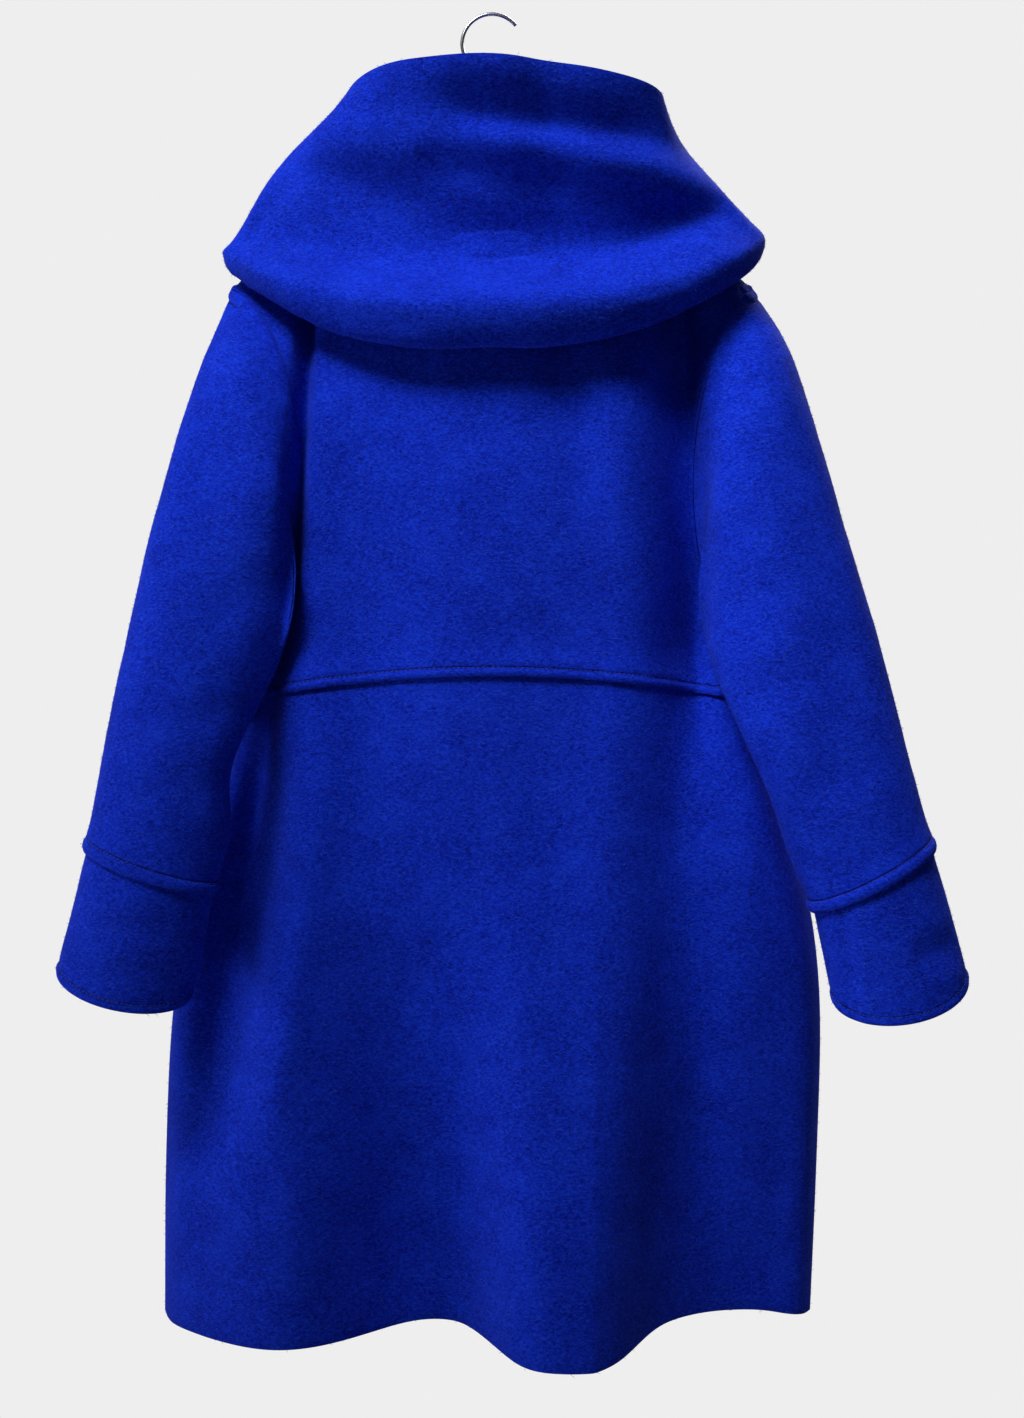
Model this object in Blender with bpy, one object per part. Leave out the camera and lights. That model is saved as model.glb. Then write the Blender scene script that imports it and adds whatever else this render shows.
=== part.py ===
"""Hooded coat of boiled wool on a plain hanger, with the hood lying down the back.

Run with blender --background --python part.py. Lengths in the tables are millimetres;
the model is in metres, +Z up. The coat's front faces -Y, its back +Y, and the wearer's left
is +X. The origin is the point inside the hook that a rail or nail bears on.
"""

import math
from collections import namedtuple

import bmesh
import bpy
from mathutils import Vector

MM = 0.001

# Driving sizes of the cloth and its seams
CLOTH = 2.6
SEAM_GAP = 0.3
LAP = 11.0
LAP_LIFT = CLOTH + 2.5 * SEAM_GAP
FRONT_LIFT = 5.2

# Driving sizes of the body, from the neck to the hem
NECK_HALF_WIDTH = 72.0
NECK_SIDE_Z = -142.0
NECK_BACK_RISE = 10.0
NECK_FRONT_DROP = 73.0
NECK_BACK_DEPTH = 45.0
NECK_FRONT_DEPTH = 62.0
SHOULDER_TIP_X = 234.0
SHOULDER_TIP_Z = -247.0
SHOULDER_BEND = 7.0
UNDERARM_X = 212.0
UNDERARM_Z = -566.0
ARMHOLE_INSET_LEFT = 56.0
ARMHOLE_INSET_RIGHT = 44.0
ARMHOLE_BACK_DEPTH = 64.0
ARMHOLE_FRONT_DEPTH = 56.0
ARMHOLE_SCOOP = 0.6
ARMHOLE_FLATNESS = 1.6
HEM_BACK_Z = -1158.0
HEM_FRONT_Z = -1150.0
HEM_SIDE_Z = -1164.0
BODY_SQUARENESS = 2.5

# Places along the body, as shares of the way from the shoulder to the hem
AT_UNDERARM = 0.40
AT_WAIST = 0.452
SHOULDER_ROUND = 0.30
LAP_SHARE = LAP / 1030.0

# Grid counts, and the turn between stations of the neck seam in degrees
ARMHOLE_ROWS = 12
SHOULDER_COLUMNS = 8
SKIRT_ROWS = 14
SLEEVE_ROWS = 10
CUFF_ROWS = 4
HOOD_COLUMNS = 44
HOOD_ROWS = 21
NECK_STEP = 22.5

# The body's sections: half-widths of the left and right sides, depths of back and front
BodySection = namedtuple("BodySection", "along left right back front")
BODY_SECTIONS = (
    BodySection(0.00, 234, 234, 60, 58),
    BodySection(0.20, 222, 222, 78, 72),
    BodySection(0.40, 212, 212, 84, 80),
    BodySection(0.48, 226, 236, 86, 84),
    BodySection(0.55, 244, 262, 88, 88),
    BodySection(0.63, 268, 284, 91, 93),
    BodySection(0.72, 285, 294, 94, 98),
    BodySection(0.86, 292, 291, 100, 106),
    BodySection(1.00, 293, 285, 102, 110),
)

# The skirt's flutes at the hem: place across, half-width, how square their top is, depth, and
# the place along the body where they start
Flute = namedtuple("Flute", "face x half_width squareness depth starts")
FLUTES = (
    Flute(+1, 184, 74, 2.0, 34, 0.52),
    Flute(+1, 48, 58, 2.0, -34, 0.58),
    Flute(+1, -62, 63, 4.0, 76, 0.52),
    Flute(+1, -208, 72, 2.4, -44, 0.55),
    Flute(-1, 190, 72, 2.2, 30, 0.55),
    Flute(-1, 104, 46, 2.0, -24, 0.58),
    Flute(-1, -112, 52, 2.0, -26, 0.56),
    Flute(-1, -196, 70, 2.2, 32, 0.54),
)
HEM_DROP_PER_PUSH = 0.18

# Sleeve sections from the armhole to the lapped edge: its outer and inner edge, how deep it is
# behind and before them, how far its back droops, and how far a fold of it hangs in behind the body
SleeveSection = namedtuple(
    "SleeveSection",
    "along outer_x outer_y outer_z inner_x inner_y inner_z back front droop fold",
)
LEFT_SLEEVE = (
    SleeveSection(0.00, 234, 0, -247, 212, 0, -566, 64, 56, 0, 0),
    SleeveSection(0.05, 242, 8, -272, 225, 12, -582, 76, 56, 1, 14),
    SleeveSection(0.12, 255, 20, -308, 232, 28, -600, 72, 56, 2, 56),
    SleeveSection(0.30, 280, 38, -398, 240, 40, -632, 60, 50, 4, 66),
    SleeveSection(0.45, 298, 52, -470, 234, 58, -664, 52, 42, 5, 38),
    SleeveSection(0.62, 315, 64, -556, 228, 78, -696, 46, 36, 6, 10),
    SleeveSection(0.82, 334, 78, -657, 225, 88, -738, 43, 34, 7, 0),
    SleeveSection(1.00, 347, 84, -744, 239, 90, -780, 42, 34, 7, 0),
)
RIGHT_SLEEVE = (
    SleeveSection(0.00, 234, 0, -247, 212, 0, -566, 64, 56, 0, 0),
    SleeveSection(0.05, 249, 8, -270, 226, 12, -579, 76, 56, 1, 12),
    SleeveSection(0.12, 266, 20, -306, 234, 28, -592, 72, 56, 2, 50),
    SleeveSection(0.30, 291, 38, -398, 244, 40, -610, 62, 50, 4, 70),
    SleeveSection(0.45, 310, 52, -470, 242, 58, -640, 54, 42, 5, 60),
    SleeveSection(0.62, 334, 64, -556, 242, 78, -690, 47, 36, 6, 30),
    SleeveSection(0.82, 358, 78, -657, 255, 88, -748, 43, 34, 7, 0),
    SleeveSection(1.00, 379, 84, -744, 278, 90, -796, 42, 34, 7, 0),
)
# The cuffs go on from the sleeve's lapped edge to the turned edge at the wrist
LEFT_CUFF = (
    SleeveSection(0.00, 347, 84, -744, 239, 90, -780, 42, 34, 7, 0),
    SleeveSection(0.50, 360, 85, -796, 247, 91, -828, 42, 35, 9, 0),
    SleeveSection(1.00, 373, 86, -848, 257, 92, -870, 42, 36, 19, 0),
)
RIGHT_CUFF = (
    SleeveSection(0.00, 379, 84, -744, 278, 90, -796, 42, 34, 7, 0),
    SleeveSection(0.50, 395, 85, -800, 286, 91, -838, 42, 35, 10, 0),
    SleeveSection(1.00, 410, 86, -856, 293, 92, -873, 42, 36, 25, 0),
)

# The way the cloth's thickness points at the two ends of the armhole seam, outward and upward
SHOULDER_TIP_MITRE = (0.785, 0.62)
UNDERARM_MITRE = (0.10, -0.995)

# The hood's sections round the neck, by angle from the front over the wearer's left.
# Reaches are measured out from the neck's middle line.
HoodSection = namedtuple(
    "HoodSection",
    "angle rise over_r over_z roll_r roll_z roll_size hollow_r hollow_z lip_r lip_z",
)
HOOD_SECTIONS = (
    HoodSection(15, 18, 78, -196, 96, -212, 9, 98, -200, 96, -178),
    HoodSection(35, 21, 100, -184, 138, -218, 17, 138, -188, 116, -156),
    HoodSection(60, 22, 126, -160, 190, -222, 18, 174, -166, 126, -126),
    HoodSection(88, 22, 150, -152, 242, -212, 15, 190, -134, 130, -92),
    HoodSection(108, 22, 134, -172, 222, -238, 24, 172, -142, 130, -76),
    HoodSection(128, 21, 102, -190, 194, -268, 30, 128, -168, 120, -66),
    HoodSection(152, 20, 78, -200, 164, -282, 32, 88, -181, 107, -64),
    HoodSection(180, 20, 69, -204, 150, -282, 32, 77, -183, 103, -64),
    HoodSection(208, 20, 78, -200, 162, -280, 32, 86, -181, 107, -67),
    HoodSection(232, 21, 102, -190, 193, -263, 31, 126, -172, 134, -73),
    HoodSection(252, 22, 134, -172, 228, -231, 28, 170, -142, 156, -81),
    HoodSection(272, 22, 150, -152, 246, -202, 24, 180, -130, 148, -98),
    HoodSection(300, 22, 126, -160, 192, -222, 18, 176, -166, 134, -132),
    HoodSection(325, 21, 100, -184, 138, -218, 17, 138, -188, 116, -158),
    HoodSection(345, 18, 78, -196, 96, -212, 9, 98, -200, 96, -178),
)

# Large folds of the hood's outer side, each a line between two places on it: angle round the
# neck and share of the way from neck seam to face edge, with half-width in shares and height
HoodFold = namedtuple("HoodFold", "from_angle from_share to_angle to_share half_width height")
HOOD_FOLDS = (
    HoodFold(180, 0.935, 250, 0.895, 0.034, 12),
    HoodFold(196, 0.985, 250, 0.960, 0.030, -8),
    HoodFold(112, 0.900, 150, 0.960, 0.034, 5),
)

# The hanger: wire hook and shoulder bar
HOOK_WIRE = 3.6
HOOK_RADIUS = 27.0
HOOK_TIP_ANGLE = 38.0
HOOK_TURN_ANGLE = 225.0
BAR_HALF_LENGTH = 204.0
BAR_HEIGHT = 22.0
BAR_THICKNESS = 12.0
BAR_BELOW_SHOULDER = 17.0
BAR_CROWN_Z = -122.0
BAR_STATIONS = 13
BAR_SIDES = 10

Point = namedtuple("Point", "x y z")


def clear_scene():
    for old in list(bpy.data.objects):
        bpy.data.objects.remove(old)


def lerp(a, b, share):
    return a + (b - a) * share


def smooth_step(x, low, high):
    share = min(1.0, max(0.0, (x - low) / (high - low)))
    return share * share * (3.0 - 2.0 * share)


def hermite(p0, p1, p2, p3, k0, k1, k2, k3, x):
    """A smooth curve through p1 and p2 at places k1 and k2, with slopes from their neighbours."""
    span = k2 - k1
    share = (x - k1) / span
    slope1 = (p2 - p0) / (k2 - k0) * span
    slope2 = (p3 - p1) / (k3 - k1) * span
    square, cube = share * share, share**3
    return (
        (2 * cube - 3 * square + 1) * p1
        + (cube - 2 * square + share) * slope1
        + (3 * square - 2 * cube) * p2
        + (cube - square) * slope2
    )


def between(rows, x):
    """The row of a table at place x of its first column, read off a smooth curve through its rows."""
    last = len(rows) - 1
    i = next((k for k in range(last) if x <= rows[k + 1][0]), last - 1)
    r0, r1, r2, r3 = rows[max(i - 1, 0)], rows[i], rows[i + 1], rows[min(i + 2, last)]
    k0 = r0[0] if i > 0 else 2 * r1[0] - r2[0]
    k3 = r3[0] if i + 2 <= last else 2 * r2[0] - r1[0]
    values = []
    for c in range(1, len(r1)):
        before = r0[c] if i > 0 else 2 * r1[c] - r2[c]
        after = r3[c] if i + 2 <= last else 2 * r2[c] - r1[c]
        values.append(hermite(before, r1[c], r2[c], after, k0, r1[0], r2[0], k3, x))
    return type(r1)(x, *values)


# Outline curves that panels share


def shoulder_z(x):
    """Height of the shoulder line over the hanger, at a distance x from the middle."""
    share = (abs(x) - NECK_HALF_WIDTH) / (SHOULDER_TIP_X - NECK_HALF_WIDTH)
    bulge = SHOULDER_BEND * 4.0 * share * (1.0 - share)
    return lerp(NECK_SIDE_Z, SHOULDER_TIP_Z, share) + bulge


def neck_curve(angle):
    """The drafted neck curve, by angle in degrees from the front over the wearer's left."""
    sine, cosine = math.sin(math.radians(angle)), math.cos(math.radians(angle))
    depth = NECK_FRONT_DEPTH if cosine > 0 else NECK_BACK_DEPTH
    z = NECK_SIDE_Z + NECK_BACK_RISE * max(0.0, -cosine) - NECK_FRONT_DROP * max(0.0, cosine) ** 1.5
    return Point(NECK_HALF_WIDTH * sine, -depth * cosine, z)


def neckline(angle):
    """A point of the neck seam, on straight runs between stations so hood and body meet alike."""
    first = math.floor(angle / NECK_STEP + 1e-9)
    share = angle / NECK_STEP - first
    start, end = neck_curve(first * NECK_STEP), neck_curve((first + 1) * NECK_STEP)
    return Point(*(lerp(a, b, share) for a, b in zip(start, end)))


def top_edge(face, x):
    """The body's top edge at x: neck seam in the middle, shoulder seam beyond it."""
    if abs(x) >= NECK_HALF_WIDTH:
        return Point(x, 0.0, shoulder_z(x))
    angle = math.degrees(math.asin(x / NECK_HALF_WIDTH))
    return neckline(angle if face < 0 else 180.0 - angle)


def armhole(side, face, turn):
    """A point of the armhole seam, by turn from 0 at the shoulder tip to pi under the arm."""
    middle_z = (SHOULDER_TIP_Z + UNDERARM_Z) / 2
    half_z = (SHOULDER_TIP_Z - UNDERARM_Z) / 2
    depth = ARMHOLE_BACK_DEPTH if face > 0 else ARMHOLE_FRONT_DEPTH
    inset = ARMHOLE_INSET_LEFT if side > 0 else ARMHOLE_INSET_RIGHT
    x = lerp(SHOULDER_TIP_X, UNDERARM_X, turn / math.pi) - inset * abs(math.sin(turn)) ** 1.5
    fullness = abs(math.sin(turn)) ** (1.0 if turn < math.pi / 2 else ARMHOLE_SCOOP)
    return Point(side * x, face * depth * fullness, middle_z + half_z * math.cos(turn))


def armhole_turns():
    return [math.pi * (k / ARMHOLE_ROWS) ** 1.2 for k in range(ARMHOLE_ROWS + 1)]


def side_edge(side, face, along):
    """The body's edge at a share of its length: armhole above the underarm, side seam below it."""
    if along < AT_UNDERARM:
        return armhole(side, face, math.pi * along / AT_UNDERARM)
    section = between(BODY_SECTIONS, along)
    width = section.left if side > 0 else section.right
    share = (along - AT_UNDERARM) / (1.0 - AT_UNDERARM)
    return Point(side * width, 0.0, lerp(UNDERARM_Z, HEM_SIDE_Z, share))


def flutes(face, x, along):
    """How far the skirt's flutes push the cloth out at x."""
    push = 0.0
    for fold in FLUTES:
        if fold.face != face:
            continue
        away = abs(x - fold.x) / fold.half_width
        push += fold.depth * math.exp(-(away**fold.squareness)) * smooth_step(along, fold.starts, 1.08)
    return push


def body_point(face, turn, along):
    """A point of the coat's body, by turn from 0 at the wearer's left to pi at the right."""
    power = 2.0 / BODY_SQUARENESS
    cosine, sine = math.cos(turn), max(0.0, math.sin(turn))
    side = 1.0 if cosine >= 0 else -1.0
    across = side * abs(cosine) ** power
    below_armhole = smooth_step(along, 0.7 * AT_UNDERARM, 1.05 * AT_UNDERARM)
    fullness = sine ** lerp(ARMHOLE_FLATNESS, power, below_armhole)
    edge = side_edge(side, face, along)
    section = between(BODY_SECTIONS, along)
    depth = section.back if face > 0 else section.front
    x = abs(across) * edge.x
    hem_z = HEM_BACK_Z if face > 0 else HEM_FRONT_Z
    middle_z = lerp(top_edge(face, 0.0).z, hem_z, along)
    z = lerp(middle_z, edge.z, abs(across) ** 2)
    top = top_edge(face, across * SHOULDER_TIP_X)
    settle = max(0.0, 1.0 - along / AT_UNDERARM) ** 2
    z += (top.z - lerp(top_edge(face, 0.0).z, SHOULDER_TIP_Z, abs(across) ** 2)) * settle
    rounding = math.sqrt(math.sin(math.pi / 2 * min(1.0, along / SHOULDER_ROUND)))
    push = flutes(face, x, along) * min(1.0, 1.6 * fullness)
    full = lerp(abs(edge.y), depth, fullness) + push
    y = lerp(full, lerp(abs(top.y), full, rounding), min(1.0, 2.5 * sine))
    z -= HEM_DROP_PER_PUSH * push * along**4
    return Vector((x, face * (y + SEAM_GAP / 2), z))


def sleeve_point(table, side, turn, along):
    """A point of a sleeve or cuff, by turn from 0 at its outer edge over the back to 2 pi."""
    s = between(table, along)
    sine = math.sin(turn)
    share = (1 - math.cos(turn)) / 2
    depth = s.back if sine >= 0 else s.front
    hang = s.fold * max(0.0, sine) ** 1.5 * share / 0.6
    x = lerp(s.outer_x, s.inner_x, share) - hang
    y = lerp(s.outer_y, s.inner_y, share) + depth * sine
    z = lerp(s.outer_z, s.inner_z, share) - s.droop * sine
    return Vector((side * x, y, z))


def set_in_sleeve_point(table, side, turn, along):
    """The sleeve eased into the armhole: it starts on the armhole seam and soon takes its own form."""
    face = 1 if turn <= math.pi else -1
    seam = armhole(side, face, turn if face > 0 else 2 * math.pi - turn)
    own_start = sleeve_point(table, side, turn, 0.0)
    ease = max(0.0, 1.0 - along / 0.30) ** 2
    eased = (Vector(seam) - own_start) * ease
    return sleeve_point(table, side, turn, along) + eased


def armhole_normal(side, face, turn):
    """The way the cloth's thickness points along the armhole seam, a mitre of body and sleeve."""
    if turn < 1e-6 or turn > math.pi - 1e-6:
        out, up = SHOULDER_TIP_MITRE if turn < 1.0 else UNDERARM_MITRE
        return Vector((side * out, 0.0, up)).normalized()
    table = LEFT_SLEEVE if side > 0 else RIGHT_SLEEVE
    before, after = armhole(side, face, turn - 0.02), armhole(side, face, turn + 0.02)
    tangent = (Vector(after) - Vector(before)).normalized()
    along = AT_UNDERARM * turn / math.pi
    edge = 0.0 if side > 0 else math.pi
    inside = body_point(face, edge + side * 0.2, along)
    into_body = (inside - body_point(face, edge, along)).normalized()
    ring = turn if face > 0 else 2 * math.pi - turn
    start = set_in_sleeve_point(table, side, ring, 0.0)
    into_sleeve = (set_in_sleeve_point(table, side, ring, 0.05) - start).normalized()
    of_body = side * face * into_body.cross(tangent).normalized()
    of_sleeve = side * face * tangent.cross(into_sleeve).normalized()
    return (of_body + of_sleeve + 0.6 * (into_body + into_sleeve)).normalized()


def fold_push(angle, share):
    """How far the hood's large folds lift its outer side at a place."""
    push = 0.0
    for fold in HOOD_FOLDS:
        way = (angle - fold.from_angle) / (fold.to_angle - fold.from_angle)
        middle = lerp(fold.from_share, fold.to_share, way)
        ends = smooth_step(way, -0.15, 0.25) * (1.0 - smooth_step(way, 0.75, 1.15))
        push += fold.height * ends * math.exp(-(((share - middle) / fold.half_width) ** 2))
    return push


Station = namedtuple("Station", "along r z")


def spline(points, share):
    """Reach and height at a share of the way along a smooth curve through the given points."""
    rows = [Station(float(i), *point) for i, point in enumerate(points)]
    found = between(rows, (len(points) - 1) * share)
    return found.r, found.z


def hood_profile(angle):
    """The hood's section at an angle, from the neck seam over the rolled fold to the face edge."""
    h = between(HOOD_SECTIONS, angle)
    neck = neckline(angle)
    neck_r = math.hypot(neck.x, neck.y)
    points = (
        (neck_r, neck.z + 2.5 * SEAM_GAP),
        (neck_r + 5, neck.z + h.rise),
        (h.over_r, h.over_z),
        (h.roll_r - h.roll_size, h.roll_z - h.roll_size),
        (h.roll_r, h.roll_z),
        (h.roll_r - 0.7 * h.roll_size, h.roll_z + 0.9 * h.roll_size),
        (h.hollow_r, h.hollow_z),
        (h.lip_r, h.lip_z),
    )
    direction = Vector((neck.x, neck.y, 0)).normalized()
    plain = Vector((math.sin(math.radians(angle)), -math.cos(math.radians(angle)), 0))
    placed = []
    for k in range(HOOD_ROWS + 1):
        share = (k / HOOD_ROWS) ** 0.8
        r, z = spline(points, share)
        heading = direction.lerp(plain, smooth_step(share, 0.0, 0.3)).normalized()
        out = r + fold_push(angle, share)
        placed.append(heading * out + Vector((0, 0, z)))
    return placed


# Building walls from grids of points


def grid_normals(grid, closed):
    """Unit normals of a grid, from its neighbours along rows and columns."""
    rows, columns = len(grid), len(grid[0])
    normals = []
    for i in range(rows):
        line = []
        for j in range(columns):
            left = grid[i][(j - 1) % columns] if closed or j > 0 else grid[i][j]
            right = grid[i][(j + 1) % columns] if closed or j < columns - 1 else grid[i][j]
            above, below = grid[max(i - 1, 0)][j], grid[min(i + 1, rows - 1)][j]
            line.append((right - left).cross(below - above).normalized())
        normals.append(line)
    return normals


def wall(name, grid, normals, material, closed=False, lifts=None):
    """A closed wall of cloth about a grid of points in millimetres, moved out by each row's lift."""
    rows, columns = len(grid), len(grid[0])
    bm = bmesh.new()
    layers = []
    for sign in (1, -1):
        layer = []
        for i in range(rows):
            lift = lifts[i] if lifts else 0.0
            offset = lift + sign * CLOTH / 2
            places = [grid[i][j] + normals[i][j] * offset for j in range(columns)]
            layer.append([bm.verts.new(place * MM) for place in places])
        layers.append(layer)
    outer, inner = layers
    around = columns if closed else columns - 1
    for i in range(rows - 1):
        for j in range(around):
            k = (j + 1) % columns
            bm.faces.new((outer[i][j], outer[i + 1][j], outer[i + 1][k], outer[i][k]))
            bm.faces.new((inner[i][k], inner[i + 1][k], inner[i + 1][j], inner[i][j]))
    for j in range(around):
        k = (j + 1) % columns
        bm.faces.new((outer[0][j], outer[0][k], inner[0][k], inner[0][j]))
        bm.faces.new((outer[-1][k], outer[-1][j], inner[-1][j], inner[-1][k]))
    if not closed:
        for i in range(rows - 1):
            bm.faces.new((outer[i + 1][0], outer[i][0], inner[i][0], inner[i + 1][0]))
            bm.faces.new((outer[i][-1], outer[i + 1][-1], inner[i + 1][-1], inner[i][-1]))
    bmesh.ops.recalc_face_normals(bm, faces=bm.faces)
    return finish(name, bm, material)


def finish(name, bm, material):
    mesh = bpy.data.meshes.new(name)
    bm.to_mesh(mesh)
    bm.free()
    mesh.shade_smooth()
    mesh.materials.append(material)
    made = bpy.data.objects.new(name, mesh)
    bpy.context.scene.collection.objects.link(made)
    return made


def make_material(name, colour, roughness, metallic):
    made = bpy.data.materials.new(name)
    made.use_nodes = True
    shader = made.node_tree.nodes["Principled BSDF"]
    shader.inputs["Base Color"].default_value = (*colour, 1.0)
    shader.inputs["Roughness"].default_value = roughness
    shader.inputs["Metallic"].default_value = metallic
    return made


# Body panels


def upper_rows():
    return [AT_UNDERARM * turn / math.pi for turn in armhole_turns()]


def lower_rows(low, count):
    return [lerp(low, 1.0, k / count) for k in range(count + 1)]


def turn_at(across):
    """The body's turn at a share across from the middle (0) to a side (1 or -1)."""
    side = 1 if across >= 0 else -1
    return math.acos(side * abs(across) ** (BODY_SQUARENESS / 2))


def panel_turns(edge_angle):
    """Turns from the left side seam over the shoulder and on by neck stations to edge_angle."""
    neck_side = turn_at(NECK_HALF_WIDTH / SHOULDER_TIP_X)
    turns = [neck_side * (k / SHOULDER_COLUMNS) ** 0.75 for k in range(SHOULDER_COLUMNS)]
    steps = round((90.0 - edge_angle) / NECK_STEP)
    for k in range(steps + 1):
        x = NECK_HALF_WIDTH * math.sin(math.radians(90.0 - NECK_STEP * k))
        turns.append(turn_at(x / SHOULDER_TIP_X))
    return turns


def mirrored(turns):
    return [math.pi - turn for turn in reversed(turns)]


def body_panel(name, face, rows, turns, material, lifts=None, column_lifts=None):
    """A panel of the body over the given rows and turns, its seam edges mitred to their neighbours."""
    grid = [[body_point(face, turn, along) for turn in turns] for along in rows]
    normals = grid_normals(grid, False)
    if normals[len(rows) // 2][len(turns) // 2].y * face < 0:
        normals = [[-n for n in line] for line in normals]
    for i, along in enumerate(rows):
        for j, turn in enumerate(turns):
            at_side = turn < 1e-6 or turn > math.pi - 1e-6
            side = 1 if math.cos(turn) > 0 else -1
            if at_side and along <= AT_UNDERARM + 1e-9:
                normals[i][j] = armhole_normal(side, face, math.pi * along / AT_UNDERARM)
            elif at_side:
                normals[i][j] = Vector((side, 0, 0))
            elif along == 0.0 and abs(grid[i][j].x) <= NECK_HALF_WIDTH + 1e-6:
                normals[i][j] = Vector((grid[i][j].x, grid[i][j].y, 0)).normalized()
            elif along == 0.0:
                slope = (NECK_SIDE_Z - SHOULDER_TIP_Z) / (SHOULDER_TIP_X - NECK_HALF_WIDTH)
                normals[i][j] = Vector((side * slope, 0, 1)).normalized()
            if column_lifts:
                grid[i][j] += normals[i][j] * column_lifts(j)
    return wall(name, grid, normals, material, lifts=lifts)


def make_back(material):
    half = panel_turns(0.0)
    turns = half[:-1] + mirrored(half)
    rows = upper_rows() + [AT_WAIST - 2.2 * LAP_SHARE, AT_WAIST - 1.25 * LAP_SHARE, AT_WAIST]
    lifts = [0.0] * (len(rows) - 2) + [LAP_LIFT, LAP_LIFT]
    body_panel("back_bodice", 1, rows, turns, material, lifts)
    turns = sorted(turns + [(a + b) / 2 for a, b in zip(turns, turns[1:]) if 0.6 < a < 2.5])
    body_panel("back_skirt", 1, lower_rows(AT_WAIST - LAP_SHARE, SKIRT_ROWS), turns, material)


def make_fronts(material):
    """Two fronts that pass the middle by two neck stations; the right one lies over the left."""
    rows = upper_rows() + lower_rows(AT_UNDERARM, SKIRT_ROWS)[1:]
    turns = panel_turns(-2 * NECK_STEP)
    body_panel("front_left", -1, rows, turns, material)
    turns = mirrored(turns)

    def lift_over_left(column):
        return FRONT_LIFT * smooth_step(-column, -SHOULDER_COLUMNS - 1, -SHOULDER_COLUMNS + 1)

    body_panel("front_right", -1, rows, turns, material, column_lifts=lift_over_left)


# Sleeves and cuffs


def ring_turns():
    turns = armhole_turns()
    return turns + [2 * math.pi - t for t in reversed(turns[1:-1])]


def outward(grid, normals):
    """The normals turned to point away from the middle of each ring."""
    i = len(grid) // 2
    middle = sum(grid[i], Vector()) / len(grid[i])
    if (grid[i][0] - middle).dot(normals[i][0]) < 0:
        return [[-n for n in line] for line in normals]
    return normals


def make_sleeve(name, side, table, material):
    turns = ring_turns()
    lap = LAP / 510.0
    shares = [(1 - 2 * lap) * (k / SLEEVE_ROWS) ** 1.3 for k in range(SLEEVE_ROWS + 1)]
    shares += [1 - 1.15 * lap, 1.0]
    grid = [[set_in_sleeve_point(table, side, turn, along) for turn in turns] for along in shares]
    normals = outward(grid, grid_normals(grid, True))
    for j, turn in enumerate(turns):
        face = 1 if turn <= math.pi else -1
        seam_turn = turn if face > 0 else 2 * math.pi - turn
        normals[0][j] = armhole_normal(side, face, seam_turn)
        tangent = (grid[0][(j + 1) % len(turns)] - grid[0][j - 1]).normalized()
        apart = normals[0][j].cross(tangent).normalized()
        apart *= 1.0 if apart.x * side > 0 else -1.0
        room = lerp(2.0, 5.0, smooth_step(seam_turn, 1.6, 2.6)) * SEAM_GAP
        grid[0][j] = grid[0][j] + apart * room
    lifts = [0.0] * (len(shares) - 2) + [LAP_LIFT, LAP_LIFT]
    return wall(name, grid, normals, material, closed=True, lifts=lifts)


def make_cuff(name, side, sleeve_table, table, material):
    turns = ring_turns()
    tuck = 1.0 - LAP / 510.0
    grid = [[set_in_sleeve_point(sleeve_table, side, turn, tuck) for turn in turns]]
    for k in range(CUFF_ROWS + 1):
        grid.append([sleeve_point(table, side, turn, k / CUFF_ROWS) for turn in turns])
    normals = outward(grid, grid_normals(grid, True))
    return wall(name, grid, normals, material, closed=True)


def make_hood(material):
    first, last = HOOD_SECTIONS[0].angle, HOOD_SECTIONS[-1].angle
    angles = [lerp(first, last, k / HOOD_COLUMNS) for k in range(HOOD_COLUMNS + 1)]
    columns = [hood_profile(angle) for angle in angles]
    grid = [[column[i] for column in columns] for i in range(HOOD_ROWS + 1)]
    normals = grid_normals(grid, False)
    for j, angle in enumerate(angles):
        neck = neckline(angle)
        radial = Vector((neck.x, neck.y, 0)).normalized()
        normals[0][j] = radial if normals[0][j].dot(radial) > 0 else -radial
    return wall("hood", grid, normals, material)


# Hanger


def hook_path():
    """The hook's centre line from its tip round to the shank, in millimetres in the XZ plane."""
    centre_z = HOOK_WIRE / 2 - HOOK_RADIUS
    steps = 22
    path = []
    for k in range(steps + 1):
        angle = math.radians(lerp(HOOK_TIP_ANGLE, HOOK_TURN_ANGLE, k / steps))
        x, z = -HOOK_RADIUS * math.cos(angle), centre_z + HOOK_RADIUS * math.sin(angle)
        path.append(Vector((x, 0, z)))
    end = path[-1]
    shank_top = Vector((0, 0, end.z - 17))
    for k in range(1, 6):
        share = k / 5
        x, z = end.x * (1 - smooth_step(share, 0, 1)), lerp(end.z, shank_top.z, share)
        path.append(Vector((x, 0, z)))
    path.append(Vector((0, 0, BAR_CROWN_Z + BAR_HEIGHT / 2 + SEAM_GAP)))
    return path


def make_hook(material):
    curve = bpy.data.curves.new("hanger_hook", "CURVE")
    curve.dimensions = "3D"
    curve.bevel_depth = HOOK_WIRE / 2 * MM
    curve.bevel_resolution = 2
    curve.use_fill_caps = True
    path = hook_path()
    line = curve.splines.new("POLY")
    line.points.add(len(path) - 1)
    for point, place in zip(line.points, path):
        point.co = (*(place * MM), 1.0)
    curve.materials.append(material)
    made = bpy.data.objects.new("hanger_hook", curve)
    bpy.context.scene.collection.objects.link(made)
    return made


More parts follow.
